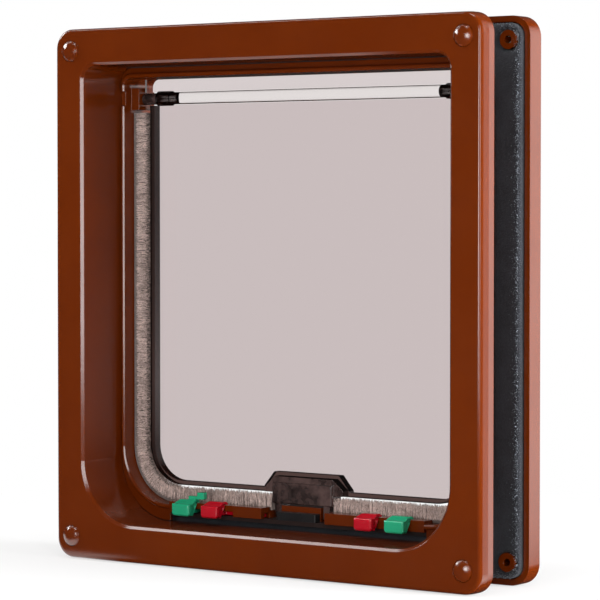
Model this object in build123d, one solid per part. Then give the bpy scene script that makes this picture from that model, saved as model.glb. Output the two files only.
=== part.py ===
from build123d import *
import os

# A four-way locking cat flap with a telescoping liner, stood on its lower edge.
# X is across, Y runs from indoors to outdoors, Z is up. The origin is the middle of its foot.

# Frames
frame_w = 204.5
frame_h = 215.0
frame_corner_r = 8.0
flange_t = 2.6
rim_wall = 2.4
inner_rim_depth = 8.6
door_gap = 25.4
outer_rim_depth = 9.4
edge_round = 1.6
mouth_chamfer = 1.1
side_draft = 3.5
draft_depth = 5.0

# Tunnel of the inner frame
side_margin = 14.25
top_margin = 15.0
bottom_margin = 15.0
tunnel_wall = 2.0
tunnel_len = 26.0
tunnel_top_r = 6.0
tunnel_bottom_r = 25.0

# Sleeve of the outer frame, which slides in the tunnel
sleeve_front = 23.4
sleeve_wall = 1.9
sleeve_chamfer = 0.55
sleeve_side_gap = 0.6
sleeve_top_gap = 2.4
sleeve_bottom_gap = 5.0
rib_y = 24.6
rib_t = 1.4
rib_fit = 0.3

# Screws and their caps
screw_side_inset = 8.05
screw_end_inset = 9.1
boss_r = 3.6
screw_clear_r = 2.1
pilot_r = 1.5
pilot_depth = 7.0
cap_r = 4.2
cap_seat = 1.2
cap_rise = 1.6
cap_flank = 0.84
cap_flank_rise = 0.55
cap_crown = 0.4
cap_stem_len = 4.5
cap_ring = 0.08
stem_fit = 0.05
post_wall = 1.2

# Foam seal
seal_gap = 0.4
seal_proud = 3.0

# Hinge and flap
hinge_below_top = 27.8
hinge_y = 32.5
flap_front = 31.2
flap_t = 2.6
flap_side_gap = 7.2
flap_bottom = 29.2
flap_corner_r = 16.0
flap_top_r = 2.3
flap_chamfer = 0.5
rim_t = 1.6
rim_back = 37.2
pivot_inset = 4.6
lip_gap = 0.6
lip_t = 1.9
lip_side_gap = 0.8
barrel_r = 2.7
lug_r = 3.2
lug_len = 6.8
pivot_r = 1.6
pivot_seat = 10.0
pivot_fit = 0.05
bearing_t = 4.0
bearing_h = 9.0
bearing_d = 8.0
entry_h = 6.0
entry_depth = 1.4
collar_gap = 0.3
collar_r = 2.4

# Magnet holder on the flap
holder_half_w = 14.6
holder_front = 29.5
holder_back = 36.0
holder_bottom = 25.0
holder_top = 33.4
shoulder_half_w = 18.9
shoulder_top_half_w = 14.0
shoulder_z = 31.5
shoulder_top = 35.6
lug_outer_x = 13.2
lug_inner_x = 10.2
lug_inset = 0.4
lug_bottom = 19.7
holder_fit = 0.1
magnet_w = 20.0
magnet_h = 3.6
magnet_t = 4.4
magnet_lift = 0.8
magnet_fit = 0.1

# Sill, its notch and the channels for the lock tongues
sill_half_w = 62.0
bar_back = 29.3
bar_top = 23.3
notch_half_w = 15.4
tongue_t = 1.5
tongue_w = 3.0
front_tongue_y = 25.9
back_tongue_y = 36.9
channel_fit = 0.3
tongue_set_back = 1.3
cover_t = 1.7
cover_top = 18.9
lug_path_gap = 0.6
threshold_gap = 0.7
sill_magnet_w = 18.8
sill_magnet_h = 4.0
sill_magnet_t = 3.4
sill_magnet_y = 27.3
pocket_depth = 0.8

# Lock sliders
button_front = 17.4
button_bottom = 18.4
button_pad = 2.0
button_pad_top = 23.2
button_corner = 0.8
button_chamfer = 0.5
button_lean = 1.5
button_inset = 0.8
button_slot_gap = 0.3
button_lip_gap = 0.4
button_lip_t = 0.9
button_lip_reach = 1.8
green_outer_x = 56.2
green_inner_x = 47.3
red_outer_x = 41.5
red_inner_x = 33.1
neck_w = 5.0
lock_travel = 5.0
finger_w = 3.4
finger_top = 27.7
finger_d = 2.4
finger_lift = 0.3

# Pile strips
pile_front = 30.0
pile_back = 36.0
pile_gap = 0.3
pile_seat = 0.1
pile_end_gap = 1.2

# Worked out from the values above
depth = inner_rim_depth + door_gap + outer_rim_depth
front_y = -(depth - cap_rise) / 2
open_half_w = frame_w / 2 - side_margin
open_top = frame_h - top_margin
outer_rim_y = inner_rim_depth + door_gap
outer_plate_y = depth - flange_t
sleeve_half_w = open_half_w - sleeve_side_gap
sleeve_top = open_top - sleeve_top_gap
sleeve_bottom = bottom_margin + sleeve_bottom_gap
sleeve_top_r = tunnel_top_r - sleeve_side_gap
sleeve_bottom_r = tunnel_bottom_r - sleeve_side_gap
bore_half_w = sleeve_half_w - sleeve_wall
bore_top = sleeve_top - sleeve_wall
bore_bottom = sleeve_bottom + sleeve_wall
bore_top_r = sleeve_top_r - sleeve_wall
bore_bottom_r = sleeve_bottom_r - sleeve_wall
screw_x = frame_w / 2 - screw_side_inset
screw_z = (screw_end_inset, frame_h - screw_end_inset)
hinge_z = frame_h - hinge_below_top
pile_top = hinge_z - bearing_h / 2 - pile_end_gap
flap_half_w = bore_half_w - flap_side_gap
flap_back = flap_front + flap_t
bearing_face = bore_half_w - bearing_t
lip_half_w = bearing_face - lip_side_gap
lip_top = bore_top - lip_gap
barrel_half_w = flap_half_w - pivot_inset
tongue_z = cover_top + channel_fit
tongue_tip = notch_half_w + tongue_set_back
bar_face = sleeve_front
sill_back = outer_plate_y
tongue_roof = tongue_z + tongue_t + channel_fit
button_back = bar_face - button_slot_gap
button_lip_z = bar_top + button_lip_gap
button_lip_top = button_lip_z + button_lip_t
button_lip_back = bar_face + button_lip_reach
flap_magnet_z = holder_bottom + magnet_lift
threshold_half_w = lug_inner_x - lug_path_gap
threshold_top = holder_bottom - threshold_gap
sill_magnet_z = cover_top - pocket_depth


def outline(half_w, z0, z1, top_r, bottom_r):
    """Upright rounded rectangle, as a sketch in X and Z."""
    shape = Pos(0, (z0 + z1) / 2) * Rectangle(2 * half_w, z1 - z0)
    shape = fillet(shape.vertices().group_by(Axis.Y)[-1], top_r)
    return fillet(shape.vertices().group_by(Axis.Y)[0], bottom_r)


def prism(shape, y0, y1, draft=0):
    """Sketch in X and Z at depth y1, carried forward to depth y0 with its sides leaning in."""
    plane = Plane(origin=(0, front_y + y1, 0), x_dir=(1, 0, 0), z_dir=(0, -1, 0))
    return extrude(plane * shape, amount=y1 - y0, taper=draft)


def block(x0, x1, y0, y1, z0, z1):
    """Box between two corners, with Y measured from the front face."""
    size = (x1 - x0, y1 - y0, z1 - z0)
    return Pos((x0 + x1) / 2, front_y + (y0 + y1) / 2, (z0 + z1) / 2) * Box(*size)


def rod(x, z, r, y0, y1):
    """Round bar along Y."""
    return prism(Pos(x, z) * Circle(r), y0, y1)


def axle(r, x0, x1):
    """Round bar along X on the hinge axis."""
    place = Pos((x0 + x1) / 2, front_y + hinge_y, hinge_z) * Rot(0, 90, 0)
    return place * Cylinder(r, x1 - x0)


def edges_at(shape, y, select=lambda edge: True):
    """Edges that lie flat at depth y behind the front face."""
    near = 1e-4
    found = shape.edges().filter_by_position(Axis.Y, front_y + y - near, front_y + y + near)
    return found.filter_by(select)


frame_face = outline(frame_w / 2, 0, frame_h, frame_corner_r, frame_corner_r)
rim_hollow_r = frame_corner_r - rim_wall
rim_hollow = outline(
    frame_w / 2 - rim_wall, rim_wall, frame_h - rim_wall, rim_hollow_r, rim_hollow_r
)
tunnel_bore = outline(open_half_w, bottom_margin, open_top, tunnel_top_r, tunnel_bottom_r)
tunnel_skin = outline(
    open_half_w + tunnel_wall, bottom_margin - tunnel_wall, open_top + tunnel_wall,
    tunnel_top_r + tunnel_wall, tunnel_bottom_r + tunnel_wall,
)
sleeve_skin = outline(sleeve_half_w, sleeve_bottom, sleeve_top, sleeve_top_r, sleeve_bottom_r)
sleeve_bore = outline(bore_half_w, bore_bottom, bore_top, bore_top_r, bore_bottom_r)
rib_outline = outline(
    open_half_w - rib_fit, bottom_margin + rib_fit, open_top - rib_fit,
    tunnel_top_r - rib_fit, tunnel_bottom_r - rib_fit,
)
screw_places = [(side * screw_x, z) for z in screw_z for side in (-1, 1)]


def on_outside(edge):
    """True for an edge on the frame's outer outline."""
    middle = edge @ 0.5
    return abs(middle.X) > open_half_w + tunnel_wall or not bottom_margin < middle.Z < open_top


def make_inner_frame():
    """Indoor flange with a rolled rim, a tunnel and four screw posts."""
    body = prism(frame_face, 0, draft_depth, side_draft)
    body += prism(frame_face, draft_depth, inner_rim_depth)
    body = fillet(edges_at(body, 0), edge_round)
    body -= prism(rim_hollow, flange_t, inner_rim_depth + 1)
    body += prism(tunnel_skin, flange_t / 2, tunnel_len)
    body -= prism(tunnel_bore, -1, tunnel_len + 1)
    for x, z in screw_places:
        body += rod(x, z, cap_r + post_wall, flange_t / 2, inner_rim_depth)
    for x, z in screw_places:
        body -= rod(x, z, screw_clear_r, -1, inner_rim_depth + 1)
        body -= rod(x, z, cap_r + cap_ring, -1, cap_seat)
    mouth = edges_at(body, 0, lambda edge: not on_outside(edge))
    return chamfer(mouth, mouth_chamfer)


def sill_solid():
    """Sill across the sleeve, with the bar that the locks slide along and a threshold."""
    body = block(-sill_half_w, sill_half_w, bar_face, sill_back, cover_top, bore_bottom)
    body += block(-sill_half_w, sill_half_w, bar_face, bar_back, cover_top, bar_top)
    half_w = threshold_half_w
    return body + block(-half_w, half_w, bar_back, sill_back, cover_top, threshold_top)


def lock_span(outer_x, inner_x):
    """Lowest and highest X that a lock's neck needs, on the left side."""
    middle = -(outer_x + inner_x) / 2
    return middle - neck_w / 2 - channel_fit, middle + neck_w / 2 + lock_travel + channel_fit


def sill_channels():
    """Notch in the bar, paths for the flap's lugs and slots for the lock tongues."""
    low = cover_top - 1
    cut = block(-notch_half_w, notch_half_w, bar_face - 1, bar_back, low, bar_top + 1)
    for side in (-1, 1):
        path = sorted((side * threshold_half_w, side * notch_half_w))
        cut += block(*path, bar_face - 1, depth + 1, low, bar_top + 1)
        for outer_x, inner_x, back in (
            (red_outer_x, red_inner_x, front_tongue_y),
            (green_outer_x, green_inner_x, back_tongue_y),
        ):
            x0, x1 = sorted(-side * x for x in lock_span(outer_x, inner_x))
            cut += block(x0, x1, bar_face - 1, back + channel_fit, low, tongue_roof)
            run = sorted((side * (outer_x + channel_fit), side * (notch_half_w - 1)))
            y0, y1 = back - channel_fit, back + tongue_w + channel_fit
            cut += block(*run, y0, y1, low, tongue_roof)
    return cut


def make_outer_frame():
    """Outdoor flange with rim, sleeve, sill, hinge bearings and screw posts."""
    body = prism(frame_face, outer_rim_y, depth)
    body = chamfer(edges_at(body, depth), edge_round)
    body -= prism(rim_hollow, outer_rim_y - 1, outer_plate_y)
    body += prism(sleeve_skin, sleeve_front, depth - flange_t / 2)
    body -= prism(sleeve_bore, sleeve_front - 1, depth + 1)
    body = chamfer(edges_at(body, sleeve_front), sleeve_chamfer)
    rib = prism(rib_outline - sleeve_bore, rib_y, rib_y + rib_t)
    span = sill_half_w + rib_fit
    body += rib - block(-span, span, rib_y, rib_y + rib_t, bottom_margin, bar_top)
    body += sill_solid()
    body -= sill_channels()
    for side in (-1, 1):
        x0, x1 = sorted((side * bearing_face, side * (bore_half_w + sleeve_wall / 2)))
        y0 = hinge_y - bearing_d / 2
        z0 = hinge_z - bearing_h / 2
        body += block(x0, x1, y0, y0 + bearing_d, z0, z0 + bearing_h)
        body -= axle(pivot_r + pivot_fit, *sorted((side * (bearing_face - 1), side * bore_half_w)))
        wall = sorted((side * (bore_half_w - 1), side * (sleeve_half_w + 1)))
        body -= block(
            *wall, sleeve_front - 1, sleeve_front + entry_depth,
            hinge_z - entry_h / 2, hinge_z + entry_h / 2,
        )
    for x, z in screw_places:
        body += rod(x, z, boss_r, outer_rim_y - seal_proud, outer_plate_y + flange_t / 2)
        body -= rod(x, z, pilot_r, outer_rim_y - seal_proud - 1, outer_rim_y + pilot_depth)
    return body


def make_sill_cover():
    """Plate under the sill, with a pocket for the lower magnet."""
    low = cover_top - cover_t
    body = block(-sill_half_w, sill_half_w, bar_face + cover_t, sill_back, low, cover_top)
    half_w = sill_magnet_w / 2 + magnet_fit
    half_t = sill_magnet_t / 2 + magnet_fit
    y0, y1 = sill_magnet_y - half_t, sill_magnet_y + half_t
    return body - block(-half_w, half_w, y0, y1, sill_magnet_z, cover_top + 1)


def make_sill_magnet():
    """Bar magnet that stands in the bar's notch."""
    y0, y1 = sill_magnet_y - sill_magnet_t / 2, sill_magnet_y + sill_magnet_t / 2
    half_w = sill_magnet_w / 2
    return block(-half_w, half_w, y0, y1, sill_magnet_z, sill_magnet_z + sill_magnet_h)


def make_door_seal():
    """Foam ring in the outer frame's tray, open round the screw posts."""
    outer = outline(
        frame_w / 2 - rim_wall - seal_gap, rim_wall + seal_gap, frame_h - rim_wall - seal_gap,
        rim_hollow_r - seal_gap, rim_hollow_r - seal_gap,
    )
    hole = outline(
        sleeve_half_w + seal_gap, cover_top - cover_t - seal_gap, sleeve_top + seal_gap,
        sleeve_top_r + seal_gap, sleeve_bottom_r + seal_gap,
    )
    body = prism(outer - hole, outer_rim_y - seal_proud, outer_plate_y)
    for x, z in screw_places:
        body -= rod(x, z, boss_r + seal_gap, outer_rim_y - seal_proud - 1, depth)
    return body


def holder_outline(grow=0.0):
    """Sloped shoulders of the magnet holder, as a sketch."""
    points = [
        (-shoulder_half_w - grow, flap_bottom), (shoulder_half_w + grow, flap_bottom),
        (shoulder_half_w + grow, shoulder_z), (shoulder_top_half_w + grow, shoulder_top + grow),
        (-shoulder_top_half_w - grow, shoulder_top + grow), (-shoulder_half_w - grow, shoulder_z),
    ]
    return make_face(Polyline(*points, close=True))


def make_flap_panel():
    """Tinted flap: a plate with a rim wall behind it, a hinge barrel and a lip above the hinge."""
    plate = outline(flap_half_w, flap_bottom, hinge_z, flap_top_r, flap_corner_r)
    inner = outline(
        flap_half_w - rim_t, flap_bottom + rim_t, hinge_z + 1, flap_top_r, flap_corner_r - rim_t
    )
    rim = plate - inner + holder_outline(holder_fit + rim_t)
    body = prism(plate, flap_front, flap_back)
    body = chamfer(edges_at(body, flap_front), flap_chamfer)
    body += prism(rim, flap_back - rim_t, rim_back)
    lip_y = hinge_y - lip_t / 2
    body += block(-lip_half_w, lip_half_w, lip_y, lip_y + lip_t, hinge_z, lip_top)
    body += axle(barrel_r, -barrel_half_w, barrel_half_w)
    window = collar_r + collar_gap
    for side in (-1, 1):
        end = side * barrel_half_w
        x0, x1 = sorted((end, side * (lip_half_w + 1)))
        y0, y1 = flap_front - 1, rim_back + 1
        body -= block(x0, x1, y0, y1, hinge_z - window, hinge_z + window)
        body += axle(lug_r, *sorted((end, end - side * lug_len)))
        body -= axle(pivot_r, *sorted((end + side, end - side * pivot_seat)))
    return body - prism(holder_outline(holder_fit), holder_front, rim_back + 1)


def make_pivot(side):
    """Pivot pin: seated in the barrel, collared, and turning in the bearing."""
    end = barrel_half_w
    body = axle(pivot_r, *sorted((side * (end - pivot_seat), side * (bore_half_w - collar_gap))))
    ring = sorted((side * (end + collar_gap), side * (bearing_face - collar_gap)))
    return body + axle(collar_r, *ring)


def make_magnet_holder():
    """Clip on the flap's lower edge, with two lugs that hang behind the sill's bar."""
    body = prism(holder_outline(), flap_front - lug_inset, rim_back - lug_inset)
    face = Pos(0, (holder_bottom + holder_top) / 2) * Rectangle(
        2 * holder_half_w, holder_top - holder_bottom
    )
    pad = prism(face, holder_front, holder_back)
    body += chamfer(edges_at(pad, holder_front), lug_inset)
    for side in (-1, 1):
        x0, x1 = sorted((side * lug_inner_x, side * lug_outer_x))
        body += block(x0, x1, holder_front + lug_inset, holder_back, lug_bottom, holder_bottom)
    half_w = magnet_w / 2 + magnet_fit
    z0, z1 = flap_magnet_z - magnet_fit, flap_magnet_z + magnet_h + magnet_fit
    y0 = holder_back - magnet_t - magnet_fit
    return body - block(-half_w, half_w, y0, rim_back, z0, z1)


def make_flap_magnet():
    """Bar magnet pushed into the back of the holder's pad."""
    y0 = holder_back - magnet_t
    return block(
        -magnet_w / 2, magnet_w / 2, y0, holder_back, flap_magnet_z, flap_magnet_z + magnet_h
    )


def make_button(x0, x1):
    """Button with a front pad, hollowed flanks and a leaning back that hooks over the bar."""
    corner = button_corner
    side_view = make_face(Polyline(
        (button_front, button_bottom), (button_back - button_lean, button_bottom),
        (button_back, button_lip_z), (button_lip_back, button_lip_z),
        (button_lip_back, button_lip_top), (button_back - button_lip_t, button_lip_top),
        (button_front + button_pad, button_pad_top), (button_front, button_pad_top), close=True,
    ))
    plane = Plane(origin=(x0, front_y, 0), x_dir=(0, 1, 0), z_dir=(1, 0, 0))
    button = extrude(plane * side_view, amount=x1 - x0)
    front_view = make_face(Polyline(
        (x0 + corner, button_bottom), (x1 - corner, button_bottom), (x1, button_bottom + corner),
        (x1, button_lip_top - corner), (x1 - corner, button_lip_top),
        (x0 + corner, button_lip_top), (x0, button_lip_top - corner), (x0, button_bottom + corner),
        close=True,
    ))
    button &= prism(front_view, button_front, button_lip_back)
    button = chamfer(edges_at(button, button_front), button_chamfer)
    y0 = button_front + button_pad
    y1 = button_back - button_chamfer
    for x, inset in ((x0, button_inset), (x1, -button_inset)):
        hollow = make_face(Polyline(
            (x - inset, y0 - abs(inset)), (x + inset, y0 + abs(inset)),
            (x + inset, y1 - abs(inset)), (x - inset, y1 + abs(inset)), close=True,
        ))
        floor = Plane(origin=(0, front_y, button_bottom - 1))
        button -= extrude(floor * hollow, amount=button_lip_z - button_bottom)
    return button


def make_lock(side, outer_x, inner_x, tongue_y, has_finger):
    """Lock slider: a button before the bar, a neck through it and a tongue behind it."""
    def span(a, b):
        return sorted((side * a, side * b))

    middle = (outer_x + inner_x) / 2
    roof = tongue_z + tongue_t
    neck_x = span(middle + neck_w / 2, middle - neck_w / 2)
    root = button_front + button_pad
    body = make_button(*span(outer_x, inner_x))
    body += block(*neck_x, root, tongue_y + tongue_w, tongue_z, roof)
    body += block(
        *span(middle + neck_w / 2, tongue_tip), tongue_y, tongue_y + tongue_w, tongue_z, roof
    )
    if has_finger:
        y0 = button_lip_back - finger_d
        foot = button_lip_top + finger_lift
        tip = inner_x - finger_w
        arm = block(*span(middle, tip), y0, button_lip_back, foot, foot + finger_d / 2)
        arm += block(
            *span(middle, inner_x + button_corner), y0, button_lip_back, button_lip_z, foot
        )
        body += arm + block(*span(inner_x, tip), y0, button_lip_back, foot, finger_top)
    return body


def make_pile(side):
    """Pile draught strip down one side of the flap, round the corner and along the sill."""
    seat = outline(
        bore_half_w - pile_seat, bore_bottom + pile_seat, bore_top - pile_seat,
        bore_top_r, bore_bottom_r - pile_seat,
    )
    swing = outline(
        flap_half_w + pile_gap, flap_bottom - pile_gap, frame_h, flap_top_r,
        flap_corner_r + pile_gap,
    )
    x0, x1 = sorted((side * notch_half_w, side * bore_half_w))
    reach = Pos((x0 + x1) / 2, pile_top / 2) * Rectangle(x1 - x0, pile_top)
    return prism((seat - swing) & reach, pile_front, pile_back)


def make_cap(x, z):
    """Domed cap with a square peg that wedges in the screw hole."""
    profile = make_face(Polyline(
        (0, -cap_seat), (cap_r, -cap_seat), (cap_r, 0),
        (cap_r * cap_flank, cap_rise * cap_flank_rise), (cap_r * cap_crown, cap_rise),
        (0, cap_rise), close=True,
    ))
    plane = Plane(origin=(x, front_y, z), x_dir=(1, 0, 0), z_dir=(0, 0, -1))
    dome = revolve(plane * profile, axis=Axis((x, front_y, z), (0, 1, 0)))
    half = (screw_clear_r - stem_fit) / 2**0.5
    peg_end = cap_seat + cap_stem_len
    return dome + block(x - half, x + half, cap_seat / 2, peg_end, z - half, z + half)


parts = {
    "inner_frame": make_inner_frame(),
    "outer_frame": make_outer_frame(),
    "sill_cover": make_sill_cover(),
    "sill_magnet": make_sill_magnet(),
    "door_seal": make_door_seal(),
    "flap_panel": make_flap_panel(),
    "magnet_holder": make_magnet_holder(),
    "flap_magnet": make_flap_magnet(),
}
for side, hand in ((-1, "left"), (1, "right")):
    parts["hinge_pivot_" + hand] = make_pivot(side)
    parts["pile_strip_" + hand] = make_pile(side)
    parts["lock_green_" + hand] = make_lock(
        side, green_outer_x, green_inner_x, back_tongue_y, hand == "left"
    )
    parts["lock_red_" + hand] = make_lock(side, red_outer_x, red_inner_x, front_tongue_y, False)
    for z, level in zip(screw_z, ("bottom", "top")):
        parts["screw_cap_" + level + "_" + hand] = make_cap(side * screw_x, z)

os.makedirs("parts", exist_ok=True)
for name, shape in parts.items():
    export_step(shape, os.path.join("parts", name + ".step"))
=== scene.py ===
import math
import random

import bmesh
import bpy
from bpy.props import FloatProperty, FloatVectorProperty, IntProperty, PointerProperty
from bpy.types import Operator, Panel, PropertyGroup
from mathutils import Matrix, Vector, noise


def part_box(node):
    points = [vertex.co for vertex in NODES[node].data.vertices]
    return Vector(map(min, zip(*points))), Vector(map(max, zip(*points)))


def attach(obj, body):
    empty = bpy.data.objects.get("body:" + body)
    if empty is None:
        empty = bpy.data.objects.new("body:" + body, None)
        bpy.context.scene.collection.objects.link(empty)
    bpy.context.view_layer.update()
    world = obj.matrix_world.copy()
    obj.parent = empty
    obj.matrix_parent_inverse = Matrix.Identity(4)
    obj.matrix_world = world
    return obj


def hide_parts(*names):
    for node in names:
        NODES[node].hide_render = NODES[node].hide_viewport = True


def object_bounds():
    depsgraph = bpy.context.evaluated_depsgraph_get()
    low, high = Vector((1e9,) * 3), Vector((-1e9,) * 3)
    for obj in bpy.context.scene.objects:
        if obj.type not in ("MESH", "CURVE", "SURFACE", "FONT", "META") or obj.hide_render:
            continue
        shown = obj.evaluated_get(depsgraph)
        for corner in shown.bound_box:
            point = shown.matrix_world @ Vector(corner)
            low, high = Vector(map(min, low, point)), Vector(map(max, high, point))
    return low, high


bl_info = {
    "name": "Cat flap finishes",
    "version": (1, 0, 0),
    "blender": (4, 5, 0),
    "location": "View3D > Sidebar > Cat flap",
    "description": "Plastics, draught strips, door seal and studio for a four-way cat flap",
    "category": "Object",
}

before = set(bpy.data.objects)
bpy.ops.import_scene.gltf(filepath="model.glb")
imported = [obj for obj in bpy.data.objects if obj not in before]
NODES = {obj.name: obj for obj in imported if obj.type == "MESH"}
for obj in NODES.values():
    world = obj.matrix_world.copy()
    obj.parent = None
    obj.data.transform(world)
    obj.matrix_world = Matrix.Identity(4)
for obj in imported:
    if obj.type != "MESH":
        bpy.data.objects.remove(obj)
CAD_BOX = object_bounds()
HANDS = (("left", -1), ("right", 1))

# Lengths are in metres
WELD_GAP = 1e-6  # distance below which a weld joins vertices
EDGE_STEPS = 3  # segments of a softened edge
TINT_STEP = 0.0002  # height over which one tint of the flap goes over into the next
# The flap's near-black edge colour is painted shade
RIM_STEP = 0.0005  # depth over which the flap's tint goes over into its rim

# Body of a pile strip: its section as shares of the fibres' reach and of the strip's depth
PILE_SECTION = (
    (0.0, 0.0), (0.3, 0.04), (0.72, 0.14), (0.84, 0.5), (0.72, 0.86), (0.3, 0.96), (0.0, 1.0),
)
PILE_STRIDE = 8  # spacings of the tufts from one section to the next
PILE_SWAY = 0.05  # unevenness of the body, as a share of its reach

# Fibres of a pile strip
FIBRE_MARGIN = 0.03  # share of the strip's depth without roots, on each side
FIBRE_LEAN = 0.0005  # stray of the tips along the strip
FIBRE_SPREAD = 0.0006  # spread of the tips across the strip
FIBRE_STRAY = 0.00012  # stray of the tips across the strip
FIBRE_TWIST = 0.9  # largest turn of a fibre about itself, in radians
FIBRE_TIP = 0.45  # width of a tip as a share of the root's

# Crumbled face of the foam seal: scale and weight of each noise, and the level that stays flush
CRUMB_NOISE = ((900, 1.0), (210, 0.6))
CRUMB_LEVEL = 0.5

# Torn cells of the foam seal
SEAL_CORNER = 0.0052  # radius of the seal's outer corners
CELL_INSET = 0.0005  # smallest distance of the roots from the outer edge
CELL_SPREAD = 0.0017  # spread of the roots from there inward
CELL_LIMIT = 0.006  # largest distance of the roots from there
CELL_FADE = 0.009  # distance from the edge at which the cells would have no length
CELL_SINK = 0.0003  # depth of the roots below the face
CELL_SIDE_SINK = 0.0004  # depth of the roots below the outer side
CELL_SIDE_END = 0.0026  # farthest root on the outer side, from the face
CELL_ROOT = 0.00022  # width of a cell at its root
CELL_TIP = 0.0001  # width of a cell at its tip

# Reflections: bright walls as fades over the bearing's X and Y, and a bright strip of floor
RIGHT_WALL = ((0.2, 0.5), (0.72, 0.86))
LEFT_WALL = ((-0.72, -0.8), (0.25, 0.4))
HAZE_SHARE = 0.24  # share of the walls' light that rough transmission shows
FLOOR_CENTRE = (0.102, -0.02, 0.0)  # point from which the floor's bearings are taken
STRIP_SIDES = (0.042, 0.036)  # fade of the strip over the distance from its middle line
STRIP_END = (-0.07, -0.09)  # fade of the strip along X
STRIP_SHARE = 0.7  # brightness of the strip as a share of the walls'

# Floor and light from all round
FLOOR_SIZE = 12.0
FLOOR_DROP = 0.0002  # gap between the part and the floor
SHADOW_START = 0.1  # distance from the middle up to which the shadow is strongest
SHADOW_WHITE = 0.6  # share of pure white in the floor there
AMBIENT_TINT = (1.0, 0.98, 0.96, 1.0)

# Lamps: name, place, width, height and power in watts
LAMPS = (
    ("side_box", (1.2, 0.2, 0.3), 0.7, 0.9, 38.0),
    ("front_box", (0.17, -1.08, 0.2), 0.28, 0.38, 3.3),
    ("edge_box", (0.76, -0.72, 0.11), 0.16, 1.2, 4.2),
    ("sky_box", (-0.77, -0.17, 1.05), 0.14, 0.6, 1.7),
    ("cap_box", (-0.97, -0.3, 0.6), 0.2, 0.3, 4.0),
    ("roof_box", (0.1, -0.35, 1.3), 0.5, 0.1, 3.0),
)
LAMP_AIM = (0.0, 0.0, 0.11)
UNMIRRORED_LAMPS = ("side_box",)


def tone(red, green, blue):
    """Linear colour from the 0 to 255 values that a colour picker shows."""
    def linear(value):
        value /= 255
        return value / 12.92 if value <= 0.04045 else ((value + 0.055) / 1.055) ** 2.4

    return linear(red), linear(green), linear(blue)


class MouldingSettings(PropertyGroup):
    """Brown frames and screw caps."""
    colour: FloatVectorProperty(
        name="Brown", description="Main colour of the moulded frames",
        subtype="COLOR", min=0, max=1, default=tone(99, 37, 3))
    shade: FloatVectorProperty(
        name="Shade", description="Darker colour in the clouds of the moulding",
        subtype="COLOR", min=0, max=1, default=tone(93, 33, 2))
    gloss: FloatProperty(
        name="Gloss", description="Roughness of the smoothest places",
        subtype="FACTOR", min=0, max=1, default=0.09)
    matt: FloatProperty(
        name="Matt", description="Roughness of the dullest places",
        subtype="FACTOR", min=0, max=1, default=0.17)
    edge: FloatProperty(
        name="Edge softness", description="Width of the softened edges",
        subtype="DISTANCE", unit="LENGTH", min=0, default=0.0003)
    dome: FloatProperty(
        name="Dome softness", description="Width of the rounds on the screw caps",
        subtype="DISTANCE", unit="LENGTH", min=0, default=0.0018)


class FlapSettings(PropertyGroup):
    """Tinted flap with its magnet holder and pivots, and the sill cover."""
    smoke: FloatVectorProperty(
        name="Smoke", description="Colour of what is seen through the panel",
        subtype="COLOR", min=0, max=1, default=(0.635, 0.553, 0.553))
    lip: FloatVectorProperty(
        name="Lip", description="Colour of what is seen through the thin lip above the hinge",
        subtype="COLOR", min=0, max=1, default=(0.73, 0.66, 0.66))
    # Painted highlight: the hinge barrel is tinted much paler than the panel, for the bright band
    # along the barrel
    rod: FloatVectorProperty(
        name="Rod", description="Colour of what is seen through the hinge barrel",
        subtype="COLOR", min=0, max=1, default=(0.82, 0.77, 0.76))
    hinge: FloatProperty(
        name="Hinge height", description="Height of the hinge barrel's middle",
        subtype="DISTANCE", unit="LENGTH", default=0.1872)
    barrel: FloatProperty(
        name="Barrel radius", description="Radius of the clear hinge barrel",
        subtype="DISTANCE", unit="LENGTH", min=0, default=0.0027)
    tint: FloatVectorProperty(
        name="Tint", description="Colour of the light that the panel lets into its shadow",
        subtype="COLOR", min=0, max=1, default=(0.06, 0.05, 0.05))
    # Painted shade: this near-black colour goes on the panel's narrow faces, on its faces behind
    # rim_start and along the top and bottom of the hinge barrel, for the dark that refraction
    # gives the flap's edges
    rim: FloatVectorProperty(
        name="Rim", description="Colour of the panel's narrow edge faces",
        subtype="COLOR", min=0, max=1, default=(0.012, 0.005, 0.004))
    rim_start: FloatProperty(
        name="Rim start", description="Depth behind which the panel's faces have the rim's colour",
        subtype="DISTANCE", unit="LENGTH", default=0.0152)
    haze: FloatProperty(
        name="Haze", description="Roughness of the panel's clearest places",
        subtype="FACTOR", min=0, max=1, default=0.015)
    # On the sill cover this colour is darkened further as painted shade
    holder: FloatVectorProperty(
        name="Holder", description="Colour of the holder and pivots, darker on the sill cover",
        subtype="COLOR", min=0, max=1, default=tone(88, 68, 65))
    edge: FloatProperty(
        name="Edge softness", description="Width of the softened edges",
        subtype="DISTANCE", unit="LENGTH", min=0, default=0.0003)


class LockSettings(PropertyGroup):
    """Red and green lock sliders."""
    green: FloatVectorProperty(
        name="Green", description="Colour of the outer sliders",
        subtype="COLOR", min=0, max=1, default=tone(33, 175, 127))
    red: FloatVectorProperty(
        name="Red", description="Colour of the inner sliders",
        subtype="COLOR", min=0, max=1, default=tone(192, 4, 31))
    edge: FloatProperty(
        name="Edge softness", description="Width of the softened edges",
        subtype="DISTANCE", unit="LENGTH", min=0, default=0.0003)


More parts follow.
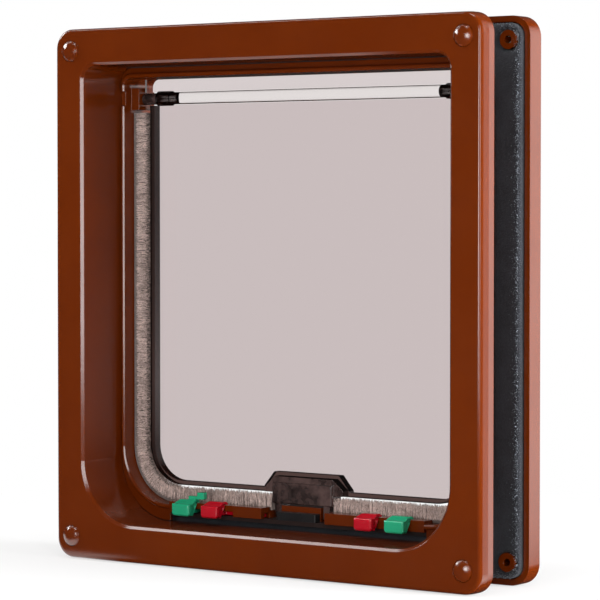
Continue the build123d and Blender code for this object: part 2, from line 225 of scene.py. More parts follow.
class SealSettings(PropertyGroup):
    """Foam seal against the door."""
    colour: FloatVectorProperty(
        name="Foam", description="Colour of the foam's face",
        subtype="COLOR", min=0, max=1, default=tone(47, 49, 55))
    fuzz_colour: FloatVectorProperty(
        name="Fuzz", description="Colour of the torn cells at the edges",
        subtype="COLOR", min=0, max=1, default=tone(150, 158, 168))
    cell: FloatProperty(
        name="Cell", description="Size of the foam's surface net",
        subtype="DISTANCE", unit="LENGTH", min=0.0005, default=0.0011)
    crumb: FloatProperty(
        name="Crumb", description="Depth of the foam's uneven surface",
        subtype="DISTANCE", unit="LENGTH", min=0, default=0.00016)
    fuzz: IntProperty(
        name="Fuzz count", description="Number of torn cells along the edges",
        min=0, default=15000)
    fuzz_length: FloatProperty(
        name="Fuzz length", description="Length of the torn cells",
        subtype="DISTANCE", unit="LENGTH", min=0, default=0.0008)
    side_share: FloatProperty(
        name="Side share", description="Share of the torn cells that stand on the outer side",
        subtype="FACTOR", min=0, max=1, default=0.35)
    seed: IntProperty(
        name="Seed", description="Start of the torn cells' chance values", default=3)


class PileSettings(PropertyGroup):
    """Pile draught strips round the flap."""
    light: FloatVectorProperty(
        name="Light fibre", description="Colour of the light fibres",
        subtype="COLOR", min=0, max=1, default=tone(235, 209, 200))
    dark: FloatVectorProperty(
        name="Dark fibre", description="Colour of the dark fibres",
        subtype="COLOR", min=0, max=1, default=tone(142, 123, 115))
    spacing: FloatProperty(
        name="Spacing", description="Distance from tuft to tuft",
        subtype="DISTANCE", unit="LENGTH", min=0.0001, default=0.00021)
    reach: FloatProperty(
        name="Reach", description="Length of the fibres",
        subtype="DISTANCE", unit="LENGTH", min=0, default=0.0066)
    width: FloatProperty(
        name="Fibre width", description="Width of a fibre at its root",
        subtype="DISTANCE", unit="LENGTH", min=0, default=0.0003)
    corner: FloatProperty(
        name="Corner radius", description="Radius of the wall that the strip follows",
        subtype="DISTANCE", unit="LENGTH", min=0, default=0.0224)
    rows: IntProperty(
        name="Rows", description="Number of tufts across the strip", min=2, default=8)
    seed: IntProperty(
        name="Seed", description="Start of the fibres' chance values", default=7)


class StageSettings(PropertyGroup):
    """Camera, light and floor."""
    camera_place: FloatVectorProperty(
        name="Camera", description="Place of the camera",
        subtype="TRANSLATION", unit="LENGTH", default=(0.6519, -0.8961, 0.1455))
    camera_yaw: FloatProperty(
        name="Yaw", description="Turn of the camera to the left",
        subtype="ANGLE", default=math.radians(35.806))
    camera_pitch: FloatProperty(
        name="Pitch", description="Tilt of the camera above level",
        subtype="ANGLE", default=math.radians(-2.015))
    lens: FloatProperty(
        name="Lens", description="Focal length of the camera in millimetres",
        min=1, default=169.48)
    ambient: FloatProperty(
        name="Ambient", description="Strength of the light from all round",
        min=0, default=0.36)
    room: FloatProperty(
        name="Room", description="Brightness of the dark room in reflections",
        min=0, default=0.03)
    side_wall: FloatProperty(
        name="Side wall", description="Brightness of the bright walls in reflections",
        min=0, default=2.1)
    shadow_reach: FloatProperty(
        name="Shadow reach", description="Distance at which the floor loses its shadow",
        subtype="DISTANCE", unit="LENGTH", min=0.05, default=0.32)


# Node groups that more than one finish uses

def new_group(name, inputs, outputs):
    """Empty shader group with its sockets, and its input and output nodes."""
    tree = bpy.data.node_groups.new(name, "ShaderNodeTree")
    for label, kind, default in inputs:
        socket = tree.interface.new_socket(label, in_out="INPUT", socket_type=kind)
        socket.default_value = default
    for label, kind in outputs:
        tree.interface.new_socket(label, in_out="OUTPUT", socket_type=kind)
    return tree, tree.nodes.new("NodeGroupInput"), tree.nodes.new("NodeGroupOutput")


def join(tree, source, target):
    """Link between two sockets."""
    tree.links.new(source, target)


def noise_node(tree, place, scale, detail=2.0, roughness=0.5):
    """Noise texture read at a place, with a number or a socket as its scale."""
    node = tree.nodes.new("ShaderNodeTexNoise")
    node.inputs["Detail"].default_value = detail
    node.inputs["Roughness"].default_value = roughness
    join(tree, place, node.inputs["Vector"])
    if isinstance(scale, (int, float)):
        node.inputs["Scale"].default_value = scale
    else:
        join(tree, scale, node.inputs["Scale"])
    return node.outputs["Fac"]


def ramp_value(tree, value, low, high, to_low=0.0, to_high=1.0):
    """Map Range from one span to another, with numbers or sockets as its ends."""
    node = tree.nodes.new("ShaderNodeMapRange")
    join(tree, value, node.inputs["Value"])
    for label, item in (
        ("From Min", low), ("From Max", high), ("To Min", to_low), ("To Max", to_high),
    ):
        if isinstance(item, (int, float)):
            node.inputs[label].default_value = item
        else:
            join(tree, item, node.inputs[label])
    return node.outputs["Result"]


def math_node(tree, operation, first, second=0.0):
    """Math node on sockets or numbers."""
    node = tree.nodes.new("ShaderNodeMath")
    node.operation = operation
    for socket, item in zip(node.inputs, (first, second)):
        if isinstance(item, (int, float)):
            socket.default_value = item
        else:
            join(tree, item, socket)
    return node.outputs["Value"]


def mix_colour(tree, factor, first, second):
    """Mix of two colours, which are sockets or tuples. The node's socket names repeat."""
    node = tree.nodes.new("ShaderNodeMix")
    node.data_type = "RGBA"
    factor_socket, first_socket, second_socket = (node.inputs[i] for i in (0, 6, 7))
    for socket, item in (
        (factor_socket, factor), (first_socket, first), (second_socket, second),
    ):
        if isinstance(item, (int, float)):
            socket.default_value = item
        elif isinstance(item, tuple):
            socket.default_value = (*item, 1.0)
        else:
            join(tree, item, socket)
    return node.outputs[2]


def object_place(tree):
    """Coordinates fixed to the piece."""
    return tree.nodes.new("ShaderNodeTexCoord").outputs["Object"]


def moulded_surface():
    """Clouded colour, uneven gloss and fine orange peel of injection-moulded plastic."""
    tree, given, result = new_group(
        "moulded_surface",
        (
            ("Colour", "NodeSocketColor", (0.5, 0.5, 0.5, 1)),
            ("Shade", "NodeSocketColor", (0.3, 0.3, 0.3, 1)),
            ("Gloss", "NodeSocketFloat", 0.2),
            ("Matt", "NodeSocketFloat", 0.4),
            ("Cloud Scale", "NodeSocketFloat", 30.0),
            ("Peel Scale", "NodeSocketFloat", 900.0),
        ),
        (
            ("Colour", "NodeSocketColor"),
            ("Roughness", "NodeSocketFloat"),
            ("Height", "NodeSocketFloat"),
        ),
    )
    place = object_place(tree)
    cloud = noise_node(tree, place, given.outputs["Cloud Scale"], detail=4.0, roughness=0.6)
    cloud = ramp_value(tree, cloud, 0.35, 0.7)
    colour = mix_colour(tree, cloud, given.outputs["Colour"], given.outputs["Shade"])
    smear = noise_node(tree, place, scale=38.0, detail=6.0, roughness=0.62)
    rough = ramp_value(
        tree, smear, 0.3, 0.75, given.outputs["Gloss"], given.outputs["Matt"])
    peel = noise_node(tree, place, given.outputs["Peel Scale"])
    sink = noise_node(tree, place, scale=55.0, detail=1.0, roughness=0.4)
    sink = ramp_value(tree, sink, 0.0, 1.0, 0.0, 0.5)
    height = math_node(tree, "ADD", peel, sink)
    join(tree, colour, result.inputs["Colour"])
    join(tree, rough, result.inputs["Roughness"])
    join(tree, height, result.inputs["Height"])
    return tree


def settled_dust():
    """Thin dust on faces that look up."""
    tree, given, result = new_group(
        "settled_dust",
        (
            ("Colour", "NodeSocketColor", (0.5, 0.5, 0.5, 1)),
            ("Dust", "NodeSocketColor", (0.4, 0.36, 0.32, 1)),
            ("Roughness", "NodeSocketFloat", 0.3),
            ("Amount", "NodeSocketFloat", 0.12),
        ),
        (("Colour", "NodeSocketColor"), ("Roughness", "NodeSocketFloat")),
    )
    facing = tree.nodes.new("ShaderNodeSeparateXYZ")
    geometry = tree.nodes.new("ShaderNodeNewGeometry")
    join(tree, geometry.outputs["Normal"], facing.inputs["Vector"])
    up = ramp_value(tree, facing.outputs["Z"], 0.55, 0.98)
    speckle = noise_node(tree, object_place(tree), scale=420.0, detail=6.0, roughness=0.7)
    speckle = ramp_value(tree, speckle, 0.35, 0.75)
    mask = math_node(tree, "MULTIPLY", up, speckle)
    mask = math_node(tree, "MULTIPLY", mask, given.outputs["Amount"])
    colour = mix_colour(tree, mask, given.outputs["Colour"], given.outputs["Dust"])
    rough = math_node(tree, "ADD", given.outputs["Roughness"], mask)
    join(tree, colour, result.inputs["Colour"])
    join(tree, rough, result.inputs["Roughness"])
    return tree


def fibre_mottle():
    """Mottled colour and rough height of pile and torn foam."""
    tree, given, result = new_group(
        "fibre_mottle",
        (
            ("Light", "NodeSocketColor", (0.6, 0.6, 0.6, 1)),
            ("Dark", "NodeSocketColor", (0.2, 0.2, 0.2, 1)),
            ("Patch Scale", "NodeSocketFloat", 150.0),
            ("Strand Scale", "NodeSocketFloat", 1500.0),
        ),
        (
            ("Colour", "NodeSocketColor"),
            ("Roughness", "NodeSocketFloat"),
            ("Height", "NodeSocketFloat"),
        ),
    )
    place = object_place(tree)
    patch = noise_node(tree, place, given.outputs["Patch Scale"], detail=3.0, roughness=0.6)
    strand = noise_node(tree, place, given.outputs["Strand Scale"], detail=3.0, roughness=0.7)
    coarse = math_node(tree, "MULTIPLY", patch, 0.45)
    fine = math_node(tree, "MULTIPLY", strand, 0.55)
    blend = math_node(tree, "ADD", coarse, fine)
    blend = ramp_value(tree, blend, 0.36, 0.64)
    colour = mix_colour(tree, blend, given.outputs["Dark"], given.outputs["Light"])
    rough = ramp_value(tree, strand, 0.2, 0.8, 0.8, 1.0)
    join(tree, colour, result.inputs["Colour"])
    join(tree, rough, result.inputs["Roughness"])
    join(tree, strand, result.inputs["Height"])
    return tree


def shared_group(build):
    """The node group that a builder makes, built once."""
    return bpy.data.node_groups.get(build.__name__) or build()


# Finishes

def new_finish(name):
    """Material with one Principled shader, and the tree and shader."""
    material = bpy.data.materials.new(name)
    material.use_nodes = True
    tree = material.node_tree
    tree.nodes.clear()
    shader = tree.nodes.new("ShaderNodeBsdfPrincipled")
    output = tree.nodes.new("ShaderNodeOutputMaterial")
    join(tree, shader.outputs["BSDF"], output.inputs["Surface"])
    return material, tree, shader


def place_group(tree, build, **values):
    """Group node with its own values. Underscores in the names stand for spaces."""
    node = tree.nodes.new("ShaderNodeGroup")
    node.node_tree = shared_group(build)
    for label, value in values.items():
        socket = node.inputs[label.replace("_", " ")]
        if isinstance(value, (int, float)):
            socket.default_value = value
        else:
            socket.default_value = (*value, 1.0)
    return node


def bump(tree, height, shader, distance, edge=0.0):
    """Bump from a height, on the shader's normal, over edges rounded by a radius."""
    node = tree.nodes.new("ShaderNodeBump")
    if edge:
        round_off = tree.nodes.new("ShaderNodeBevel")
        round_off.samples = 6
        round_off.inputs["Radius"].default_value = edge
        join(tree, round_off.outputs["Normal"], node.inputs["Normal"])
    node.inputs["Strength"].default_value = 1.0
    node.inputs["Distance"].default_value = distance
    join(tree, height, node.inputs["Height"])
    join(tree, node.outputs["Normal"], shader.inputs["Normal"])


def moulded_finish(
        name, colour, shade, gloss, matt, cloud=30.0, dust=0.06, specular=0.7, peel=0.000012,
        edge=0.0):
    """Opaque moulded plastic."""
    material, tree, shader = new_finish(name)
    surface = place_group(
        tree, moulded_surface, Colour=tuple(colour), Shade=tuple(shade), Gloss=gloss, Matt=matt,
        Cloud_Scale=cloud)
    film = place_group(tree, settled_dust, Amount=dust)
    join(tree, surface.outputs["Colour"], film.inputs["Colour"])
    join(tree, surface.outputs["Roughness"], film.inputs["Roughness"])
    join(tree, film.outputs["Colour"], shader.inputs["Base Color"])
    join(tree, film.outputs["Roughness"], shader.inputs["Roughness"])
    shader.inputs["IOR"].default_value = 1.5
    shader.inputs["Specular IOR Level"].default_value = specular
    bump(tree, surface.outputs["Height"], shader, peel, edge=edge)
    return material


def darker(colour, share):
    """Colour times a share."""
    return tuple(channel * share for channel in colour)


def panel_finish(settings):
    """Smoke-tinted clear plastic with a pale lip. Its narrow faces and its faces behind rim_start
    are near black as painted shade, and the hinge barrel is tinted pale as a painted highlight.
    """
    material, tree, shader = new_finish("tinted_panel")
    shader.inputs["Transmission Weight"].default_value = 1.0
    shader.inputs["IOR"].default_value = 1.49
    facing = tree.nodes.new("ShaderNodeSeparateXYZ")
    coordinates = tree.nodes.new("ShaderNodeTexCoord")
    place = coordinates.outputs["Object"]
    join(tree, coordinates.outputs["Normal"], facing.inputs["Vector"])
    # Painted shade: faces that turn away from the front and back, and faces behind rim_start, take
    # the near-black edge colour instead of the smoke
    broad = math_node(tree, "ABSOLUTE", facing.outputs["Y"])
    broad = ramp_value(tree, broad, 0.5, 0.8)
    spot = tree.nodes.new("ShaderNodeSeparateXYZ")
    join(tree, place, spot.inputs["Vector"])
    ahead = ramp_value(
        tree, spot.outputs["Y"], settings.rim_start + RIM_STEP, settings.rim_start)
    plain = math_node(tree, "MULTIPLY", broad, ahead)
    smoke = tuple(settings.smoke)
    # The band round the hinge takes the pale barrel colour as a painted highlight, and the thin
    # lip above it takes its own paler tint
    for start, colour in (
        (settings.hinge - settings.barrel, tuple(settings.rod)),
        (settings.hinge + settings.barrel, tuple(settings.lip)),
    ):
        above = ramp_value(tree, spot.outputs["Z"], start, start + TINT_STEP)
        smoke = mix_colour(tree, above, smoke, colour)
    shown = mix_colour(tree, plain, tuple(settings.rim), smoke)
    join(tree, shown, shader.inputs["Base Color"])
    rubbed = tree.nodes.new("ShaderNodeMapping")
    rubbed.inputs["Rotation"].default_value = (0.0, 0.6, 0.0)
    rubbed.inputs["Scale"].default_value = (1.0, 1.0, 14.0)
    join(tree, place, rubbed.inputs["Vector"])
    scuff = noise_node(tree, rubbed.outputs["Vector"], scale=45.0, detail=6.0, roughness=0.7)
    rough = ramp_value(tree, scuff, 0.45, 0.85, settings.haze, settings.haze * 4)
    join(tree, rough, shader.inputs["Roughness"])
    wave = noise_node(tree, place, scale=28.0, detail=1.0, roughness=0.3)
    bump(tree, wave, shader, distance=0.00002)
    path = tree.nodes.new("ShaderNodeLightPath")
    clear = tree.nodes.new("ShaderNodeBsdfTransparent")
    clear.inputs["Color"].default_value = (*settings.tint, 1.0)
    mix = tree.nodes.new("ShaderNodeMixShader")
    output = next(n for n in tree.nodes if n.type == "OUTPUT_MATERIAL")
    join(tree, path.outputs["Is Shadow Ray"], mix.inputs["Fac"])
    join(tree, shader.outputs["BSDF"], mix.inputs[1])
    join(tree, clear.outputs["BSDF"], mix.inputs[2])
    join(tree, mix.outputs["Shader"], output.inputs["Surface"])
    return material


def fibre_finish(name, light, dark, patch, strand, depth, sheen=0.3):
    """Pile or torn foam."""
    material, tree, shader = new_finish(name)
    mottle = place_group(
        tree, fibre_mottle, Light=tuple(light), Dark=tuple(dark),
        Patch_Scale=patch, Strand_Scale=strand)
    join(tree, mottle.outputs["Colour"], shader.inputs["Base Color"])
    join(tree, mottle.outputs["Roughness"], shader.inputs["Roughness"])
    shader.inputs["Specular IOR Level"].default_value = 0.15
    shader.inputs["Sheen Weight"].default_value = sheen
    shader.inputs["Sheen Roughness"].default_value = 0.6
    bump(tree, mottle.outputs["Height"], shader, depth)
    return material


def magnet_finish():
    """Black ceramic magnet."""
    return moulded_finish(
        "ceramic_magnet", tone(24, 24, 26), tone(15, 15, 17), gloss=0.3, matt=0.5, peel=0.00003)


def paint(names, material):
    """Material on each of these CAD nodes."""
    for name in names:
        mesh_slots = NODES[name].material_slots
        if not mesh_slots:
            raise RuntimeError(name + " has no material slot")
        for slot in mesh_slots:
            slot.material = material


def soften(names, width, angle=math.radians(28)):
    """Small rounds on the sharp edges of these CAD nodes, by modifiers alone."""
    for name in names:
        node = NODES[name]
        weld = node.modifiers.new("weld", "WELD")
        weld.merge_threshold = WELD_GAP
        edge = node.modifiers.new("soft edges", "BEVEL")
        edge.limit_method = "ANGLE"
        edge.angle_limit = angle
        edge.width = width
        edge.segments = EDGE_STEPS
        edge.use_clamp_overlap = False
        edge.harden_normals = True


# Soft pieces

def link(name, mesh):
    """New object in the scene."""
    piece = bpy.data.objects.new(name, mesh)
    bpy.context.scene.collection.objects.link(piece)
    return piece


def settled(piece):
    """The piece's modifiers carried into its mesh."""
    graph = bpy.context.evaluated_depsgraph_get()
    mesh = bpy.data.meshes.new_from_object(piece.evaluated_get(graph))
    piece.modifiers.clear()
    old = piece.data
    piece.data = mesh
    bpy.data.meshes.remove(old)
    return piece


def add_strand(bm, points, side, root, tip, material=0):
    """Flat strand along points, which gets narrower towards its tip."""
    rows = []
    last = len(points) - 1
    for i, point in enumerate(points):
        half = side * (root + (tip - root) * i / last) / 2
        rows.append((bm.verts.new(point - half), bm.verts.new(point + half)))
    for (a, b), (c, d) in zip(rows, rows[1:]):
        face = bm.faces.new((a, b, d, c))
        face.smooth = True
        face.material_index = material


def strip_path(low, high, side, radius, step):
    """Stations down the wall, round the corner and along the sill: place and way inward."""
    wall = max(abs(low.x), abs(high.x))
    end = min(abs(low.x), abs(high.x))
    turn = Vector((side * (wall - radius), 0, low.z + radius))
    down = high.z - turn.z
    arc = radius * math.pi / 2
    along = wall - radius - end
    count = int((down + arc + along) / step)
    for i in range(count + 1):
        run = (down + arc + along) * i / count
        if run < down:
            yield Vector((side * wall, 0, high.z - run)), Vector((-side, 0, 0))
        elif run < down + arc:
            angle = (run - down) / radius
            out = Vector((side * math.cos(angle), 0, -math.sin(angle)))
            yield turn + out * radius, -out
        else:
            x = wall - radius - (run - down - arc)
            yield Vector((side * x, 0, low.z)), Vector((0, 0, 1))


def pile_strip(hand, side, settings):
    """Draught strip of upright fibres on a woven tape."""
    low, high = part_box("pile_strip_" + hand)
    chance = random.Random(settings.seed + side)
    bm = bmesh.new()
    core = []
    stride = settings.spacing * PILE_STRIDE
    for place, inward in strip_path(low, high, side, settings.corner, stride):
        ring = []
        for depth, y in PILE_SECTION:
            sway = 1 + PILE_SWAY * noise.noise(place * 400 + Vector((0, y * 9, 0)))
            point = place + inward * settings.reach * depth * sway
            point.y = low.y + (high.y - low.y) * y
            ring.append(bm.verts.new(point))
        core.append(ring)
    for one, two in zip(core, core[1:]):
        for i in range(len(one)):
            j = (i + 1) % len(one)
            face = bm.faces.new((one[i], one[j], two[j], two[i]))
            face.smooth = True
            face.material_index = 1
    for ring in (core[0], core[-1][::-1]):
        bm.faces.new(ring[::-1]).material_index = 1
    for place, inward in strip_path(low, high, side, settings.corner, settings.spacing):
        along = inward.cross(Vector((0, 1, 0)))
        for row in range(settings.rows):
            share = (row + chance.uniform(0.1, 0.9)) / settings.rows
            share = 0.5 - 0.5 * math.cos(math.pi * share)
            share_in = FIBRE_MARGIN + (1 - 2 * FIBRE_MARGIN) * share
            y = low.y + (high.y - low.y) * share_in
            reach = settings.reach * chance.uniform(0.8, 1.0)
            lean = along * chance.gauss(0, FIBRE_LEAN)
            puff = (share - 0.5) * FIBRE_SPREAD + chance.gauss(0, FIBRE_STRAY)
            points = []
            for part in (0.0, 0.5, 1.0):
                point = place + inward * reach * part + lean * part * part
                point.y = min(max(y + puff * part, low.y), high.y)
                point.z = min(point.z, high.z)
                points.append(point)
            twist = chance.uniform(-FIBRE_TWIST, FIBRE_TWIST)
            wide = along * math.cos(twist) + Vector((0, 1, 0)) * math.sin(twist)
            add_strand(
                bm, points, wide.normalized(), settings.width, settings.width * FIBRE_TIP)
    mesh = bpy.data.meshes.new("pile_fibres_" + hand)
    bm.to_mesh(mesh)
    bm.free()
    return link("pile_fibres_" + hand, mesh)


def rounded_ring(half_w, z0, z1, radius, run):
    """Point and outward way at a share of the length round an upright rounded rectangle."""
    wide = 2 * (half_w - radius)
    tall = z1 - z0 - 2 * radius
    arc = radius * math.pi / 2
    length = run * (2 * wide + 2 * tall + 4 * arc)
    centres = (
        (half_w - radius, z0 + radius), (half_w - radius, z1 - radius),
        (radius - half_w, z1 - radius), (radius - half_w, z0 + radius),
    )
    for i, (x, z) in enumerate(centres):
        turn = i * math.pi / 2
        straight = (tall, wide)[i % 2]
        if length < arc:
            angle = turn - math.pi / 2 + length / radius
            out = Vector((math.cos(angle), 0, math.sin(angle)))
            return Vector((x, 0, z)) + out * radius, out
        length -= arc
        out = Vector((math.cos(turn), 0, math.sin(turn)))
        if length < straight:
            return Vector((x, 0, z)) + out * radius + Vector((-out.z, 0, out.x)) * length, out
        length -= straight
    return Vector((centres[0][0], 0, z0)), Vector((0, 0, -1))


def foam_seal(settings):
    """Seal of soft foam with crumbled faces and torn cells along its outer edge."""
    low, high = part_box("door_seal")
    seal = link("door_seal_foam", NODES["door_seal"].data.copy())
    seal.data.materials.clear()
    seal.modifiers.new("weld", "WELD").merge_threshold = WELD_GAP
    net = seal.modifiers.new("net", "REMESH")
    net.mode = "VOXEL"
    net.voxel_size = settings.cell
    settled(seal)
    relax = seal.modifiers.new("relax", "SMOOTH")
    relax.factor = 0.5
    relax.iterations = 3
    settled(seal)
    bm = bmesh.new()
    bm.from_mesh(seal.data)
    bm.normal_update()
    for vertex in bm.verts:
        rough = sum(weight * noise.noise(vertex.co * scale) for scale, weight in CRUMB_NOISE)
        vertex.co += vertex.normal * (rough - CRUMB_LEVEL) * settings.crumb
    for face in bm.faces:
        face.smooth = True
        face.material_index = 0
    chance = random.Random(settings.seed)
    for _ in range(settings.fuzz):
        inset = CELL_INSET + min(abs(chance.gauss(0, CELL_SPREAD)), CELL_LIMIT)
        run = chance.random()
        place, out = rounded_ring(high.x, low.z, high.z, SEAL_CORNER, run)
        across = Vector((-out.z, 0, out.x))
        root = place - out * inset
        root.y = low.y + CELL_SINK
        way = Vector((0, -1, 0)) + out * chance.gauss(0.2, 0.5)
        way += across * chance.gauss(0, 0.6)
        if chance.random() < settings.side_share:
            root = place - out * CELL_SIDE_SINK
            root.y = low.y + chance.uniform(CELL_SINK, CELL_SIDE_END)
            way = out + Vector((0, -0.7, 0)) + across * chance.gauss(0, 0.6)
        length = settings.fuzz_length * chance.uniform(0.4, 1.1) * (1 - inset / CELL_FADE)
        tip = root + way.normalized() * length
        add_strand(bm, (root, tip), across, CELL_ROOT, CELL_TIP, material=1)
    bm.to_mesh(seal.data)
    bm.free()
    return seal


# Operators

class CATFLAP_OT_dress_frames(Operator):
    """Finish the frames and the screw caps in brown plastic"""
    bl_idname = "catflap.dress_frames"
    bl_label = "Dress the frames"

    def execute(self, context):
        settings = context.scene.catflap_moulding
        brown = moulded_finish(
            "brown_moulding", settings.colour, settings.shade, settings.gloss, settings.matt,
            edge=settings.edge)
        domed = moulded_finish(
            "brown_cap", settings.colour, settings.shade, settings.gloss, settings.matt,
            specular=1.0, edge=settings.dome)
        paint(["inner_frame", "outer_frame"], brown)
        paint([n for n in NODES if n.startswith("screw_cap_")], domed)
        return {"FINISHED"}


class CATFLAP_OT_dress_flap(Operator):
    """Finish the flap, its magnet holder, the pivots, the magnets and the sill cover"""
    bl_idname = "catflap.dress_flap"
    bl_label = "Dress the flap"

    def execute(self, context):
        settings = context.scene.catflap_panel
        dark = moulded_finish(
            "dark_moulding", settings.holder, darker(settings.holder, 0.12),
            gloss=0.12, matt=0.3, cloud=170.0, specular=1.0, peel=0.00008)
        # Painted shade: the sill cover takes the holder colour darkened to 0.3 and 0.15, for the
        # shade under the sill bar and in its notch
        cover = moulded_finish(
            "sill_cover_painted_shade", darker(settings.holder, 0.3), darker(settings.holder, 0.15),
            gloss=0.3, matt=0.45, dust=0.0, specular=0.3)
        paint(["flap_panel"], panel_finish(settings))
        paint(["magnet_holder", "hinge_pivot_left", "hinge_pivot_right"], dark)
        paint(["sill_cover"], cover)
        paint(["flap_magnet", "sill_magnet"], magnet_finish())
        soften(["magnet_holder", "flap_magnet", "sill_magnet"], settings.edge)
        return {"FINISHED"}


class CATFLAP_OT_dress_locks(Operator):
    """Finish the red and green lock sliders"""
    bl_idname = "catflap.dress_locks"
    bl_label = "Dress the locks"

    def execute(self, context):
        settings = context.scene.catflap_locks
        for colour in ("green", "red"):
            shown = getattr(settings, colour)
            finish = moulded_finish(
                colour + "_moulding", shown, darker(shown, 0.8),
                gloss=0.16, matt=0.3, dust=0.03, specular=0.9)
            names = ["lock_" + colour + "_" + hand for hand, _ in HANDS]
            paint(names, finish)
            soften(names, settings.edge)
        return {"FINISHED"}


class CATFLAP_OT_make_seal(Operator):
    """Make the foam seal against the door"""
    bl_idname = "catflap.make_seal"
    bl_label = "Make the door seal"

    def execute(self, context):
        settings = context.scene.catflap_seal
        seal = foam_seal(settings)
        seal.data.materials.append(fibre_finish(
            "seal_foam_face", settings.colour, darker(settings.colour, 0.5),
            patch=120.0, strand=1400.0, depth=0.00025, sheen=0.15))
        seal.data.materials.append(fibre_finish(
            "seal_foam_fuzz", settings.fuzz_colour, darker(settings.colour, 0.5),
            patch=900.0, strand=1800.0, depth=0.0001))
        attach(seal, "frame")
        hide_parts("door_seal")
        return {"FINISHED"}


class CATFLAP_OT_make_pile(Operator):
    """Make the pile draught strips round the flap"""
    bl_idname = "catflap.make_pile"
    bl_label = "Make the draught strips"

    def execute(self, context):
        settings = context.scene.catflap_pile
        fibres = fibre_finish(
            "pile_fibre", settings.light, settings.dark,
            patch=260.0, strand=1700.0, depth=0.00005)
        tape = fibre_finish(
            "pile_tape", darker(settings.dark, 0.8), darker(settings.dark, 0.35),
            patch=300.0, strand=1500.0, depth=0.0002)
        for hand, side in HANDS:
            strip = pile_strip(hand, side, settings)
            strip.data.materials.append(fibres)
            strip.data.materials.append(tape)
            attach(strip, "frame")
            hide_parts("pile_strip_" + hand)
        return {"FINISHED"}


# Stage

def soft_box(name, place, aim, width, height, watts):
    """Area lamp that looks at a point, and that no view shows as a white sheet."""
    data = bpy.data.lights.new(name, "AREA")
    data.shape = "RECTANGLE"
    data.size = width
    data.size_y = height
    data.energy = watts
    lamp = link(name, data)
    lamp.location = place
    lamp.rotation_euler = (Vector(aim) - Vector(place)).to_track_quat("-Z", "Y").to_euler()
    lamp.visible_camera = False
    lamp.visible_transmission = False
    return lamp


def ray_kinds(tree):
    """Masks of rays: seen without a matt bounce, mirrored before, and the walls' share in them."""
    path = tree.nodes.new("ShaderNodeLightPath")
    glossy = path.outputs["Is Glossy Ray"]
    through = path.outputs["Is Transmission Ray"]
    seen = math_node(tree, "MAXIMUM", path.outputs["Is Camera Ray"], glossy)
    seen = math_node(tree, "MAXIMUM", seen, through)
    share = ramp_value(tree, through, 0.0, 1.0, 1.0, HAZE_SHARE)
    bounced = math_node(tree, "MULTIPLY", glossy, share)
    mirrored = math_node(tree, "GREATER_THAN", path.outputs["Glossy Depth"], 0.5)
    return seen, mirrored, bounced


def mirrored_room(tree, bearing, mirrored, bounced, settings, walls, near=0.0):
    """Colour of the surroundings: white, or in mirrored rays a dark room with bright walls."""
    unit = tree.nodes.new("ShaderNodeVectorMath")
    unit.operation = "NORMALIZE"
    join(tree, bearing, unit.inputs[0])
    axis = tree.nodes.new("ShaderNodeSeparateXYZ")
    join(tree, unit.outputs["Vector"], axis.inputs["Vector"])
    wall = near
    for x_span, y_span in walls:
        across = ramp_value(tree, axis.outputs["X"], *x_span)
        back = ramp_value(tree, axis.outputs["Y"], *y_span)
        patch = math_node(tree, "MULTIPLY", across, back)
        wall = math_node(tree, "MAXIMUM", patch, wall)
    wall = math_node(tree, "MULTIPLY", wall, bounced)
    room = ramp_value(tree, wall, 0.0, 1.0, settings.room, settings.side_wall)
    return mix_colour(tree, mirrored, (1.0, 1.0, 1.0), room)


def studio_world(settings):
    """White surroundings to the eye, dimmer light on the part, a dark room in its reflections."""
    world = bpy.data.worlds.new("studio")
    world.use_nodes = True
    tree = world.node_tree
    tree.nodes.clear()
    seen, mirrored, bounced = ray_kinds(tree)
    bearing = tree.nodes.new("ShaderNodeTexCoord").outputs["Generated"]
    glow = mirrored_room(
        tree, bearing, mirrored, bounced, settings, (RIGHT_WALL, LEFT_WALL))
    light = tree.nodes.new("ShaderNodeBackground")
    light.inputs["Color"].default_value = AMBIENT_TINT
    light.inputs["Strength"].default_value = settings.ambient
    white = tree.nodes.new("ShaderNodeBackground")
    join(tree, glow, white.inputs["Color"])
    mix = tree.nodes.new("ShaderNodeMixShader")
    join(tree, seen, mix.inputs["Fac"])
    join(tree, light.outputs["Background"], mix.inputs[1])
    join(tree, white.outputs["Background"], mix.inputs[2])
    output = tree.nodes.new("ShaderNodeOutputWorld")
    join(tree, mix.outputs["Shader"], output.inputs["Surface"])
    bpy.context.scene.world = world


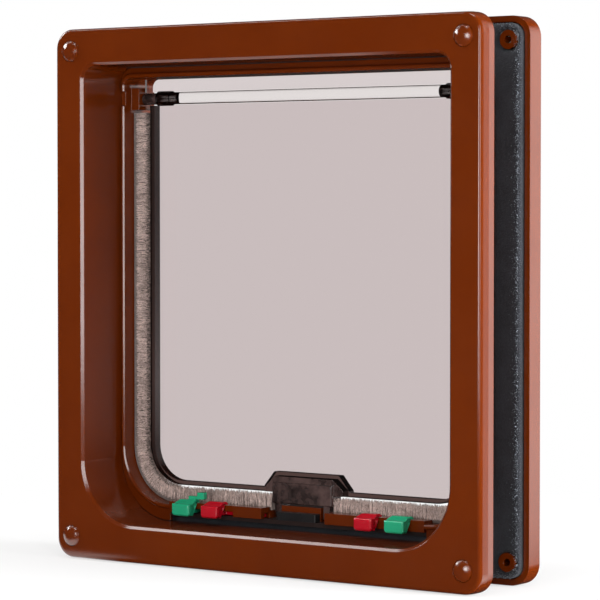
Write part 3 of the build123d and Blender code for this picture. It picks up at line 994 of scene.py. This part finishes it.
def floor_finish(settings):
    """White floor that keeps the shadow near the part."""
    material = bpy.data.materials.new("studio_floor")
    material.use_nodes = True
    tree = material.node_tree
    tree.nodes.clear()
    seen, mirrored, bounced = ray_kinds(tree)
    matt = tree.nodes.new("ShaderNodeBsdfDiffuse")
    matt.inputs["Color"].default_value = (0.9, 0.9, 0.9, 1.0)
    glow = tree.nodes.new("ShaderNodeEmission")
    place = object_place(tree)
    bearing = tree.nodes.new("ShaderNodeVectorMath")
    bearing.operation = "SUBTRACT"
    join(tree, place, bearing.inputs[0])
    bearing.inputs[1].default_value = FLOOR_CENTRE
    axis = tree.nodes.new("ShaderNodeSeparateXYZ")
    join(tree, place, axis.inputs["Vector"])
    off_line = math_node(tree, "ABSOLUTE", axis.outputs["Y"])
    near = ramp_value(tree, off_line, *STRIP_SIDES, 0.0, STRIP_SHARE)
    beside = ramp_value(tree, axis.outputs["X"], *STRIP_END)
    near = math_node(tree, "MULTIPLY", near, beside)
    room = mirrored_room(
        tree, bearing.outputs["Vector"], mirrored, bounced, settings, (RIGHT_WALL,), near)
    join(tree, room, glow.inputs["Color"])
    span = tree.nodes.new("ShaderNodeVectorMath")
    span.operation = "LENGTH"
    join(tree, place, span.inputs[0])
    far = ramp_value(
        tree, span.outputs["Value"], SHADOW_START, settings.shadow_reach, SHADOW_WHITE, 1.0)
    lit = math_node(tree, "MULTIPLY", seen, far)
    share = math_node(tree, "MAXIMUM", lit, mirrored)
    mix = tree.nodes.new("ShaderNodeMixShader")
    join(tree, share, mix.inputs["Fac"])
    join(tree, matt.outputs["BSDF"], mix.inputs[1])
    join(tree, glow.outputs["Emission"], mix.inputs[2])
    output = tree.nodes.new("ShaderNodeOutputMaterial")
    join(tree, mix.outputs["Shader"], output.inputs["Surface"])
    return material


class CATFLAP_OT_make_stage(Operator):
    """Make the floor, the lamps, the surroundings and the camera"""
    bl_idname = "catflap.make_stage"
    bl_label = "Make the stage"

    def execute(self, context):
        scene = context.scene
        settings = scene.catflap_stage
        bm = bmesh.new()
        bmesh.ops.create_grid(bm, x_segments=1, y_segments=1, size=FLOOR_SIZE)
        mesh = bpy.data.meshes.new("studio_floor")
        bm.to_mesh(mesh)
        bm.free()
        floor = link("studio_floor", mesh)
        floor.location.z = CAD_BOX[0][2] - FLOOR_DROP
        mesh.materials.append(floor_finish(settings))
        for name, place, width, height, watts in LAMPS:
            lamp = soft_box(name, place, LAMP_AIM, width, height, watts)
            lamp.visible_glossy = name not in UNMIRRORED_LAMPS
        studio_world(settings)
        data = bpy.data.cameras.new("camera")
        data.lens = settings.lens
        data.sensor_width = 36.0
        data.clip_start = 0.05
        data.clip_end = 40.0
        camera = link("camera", data)
        camera.location = settings.camera_place
        camera.rotation_euler = (math.pi / 2 + settings.camera_pitch, 0.0, settings.camera_yaw)
        scene.camera = camera
        scene.view_settings.view_transform = "Standard"
        return {"FINISHED"}


class CATFLAP_PT_panel(Panel):
    """The cat flap's operators and settings."""
    bl_idname = "CATFLAP_PT_panel"
    bl_label = "Cat flap"
    bl_space_type = "VIEW_3D"
    bl_region_type = "UI"
    bl_category = "Cat flap"

    def draw(self, context):
        for settings, operator in STEPS:
            box = self.layout.box()
            box.operator(operator)
            values = getattr(context.scene, settings)
            for name in values.__annotations__:
                box.prop(values, name)


# Settings and operator of each step, in the panel's order
STEPS = (
    ("catflap_moulding", "catflap.dress_frames"),
    ("catflap_panel", "catflap.dress_flap"),
    ("catflap_locks", "catflap.dress_locks"),
    ("catflap_seal", "catflap.make_seal"),
    ("catflap_pile", "catflap.make_pile"),
    ("catflap_stage", "catflap.make_stage"),
)
SETTINGS = {
    "catflap_moulding": MouldingSettings,
    "catflap_panel": FlapSettings,
    "catflap_locks": LockSettings,
    "catflap_seal": SealSettings,
    "catflap_pile": PileSettings,
    "catflap_stage": StageSettings,
}
CLASSES = (
    *SETTINGS.values(),
    CATFLAP_OT_dress_frames,
    CATFLAP_OT_dress_flap,
    CATFLAP_OT_dress_locks,
    CATFLAP_OT_make_seal,
    CATFLAP_OT_make_pile,
    CATFLAP_OT_make_stage,
    CATFLAP_PT_panel,
)


def register():
    for item in CLASSES:
        bpy.utils.register_class(item)
    for name, group in SETTINGS.items():
        setattr(bpy.types.Scene, name, PointerProperty(type=group))


def unregister():
    for name in SETTINGS:
        delattr(bpy.types.Scene, name)
    for item in reversed(CLASSES):
        bpy.utils.unregister_class(item)


def main():
    """Dress the loaded frame and make its stage."""
    register()
    bpy.ops.catflap.dress_frames()
    bpy.ops.catflap.dress_flap()
    bpy.ops.catflap.dress_locks()
    bpy.ops.catflap.make_seal()
    bpy.ops.catflap.make_pile()
    bpy.ops.catflap.make_stage()


if __name__ == "__main__":
    main()
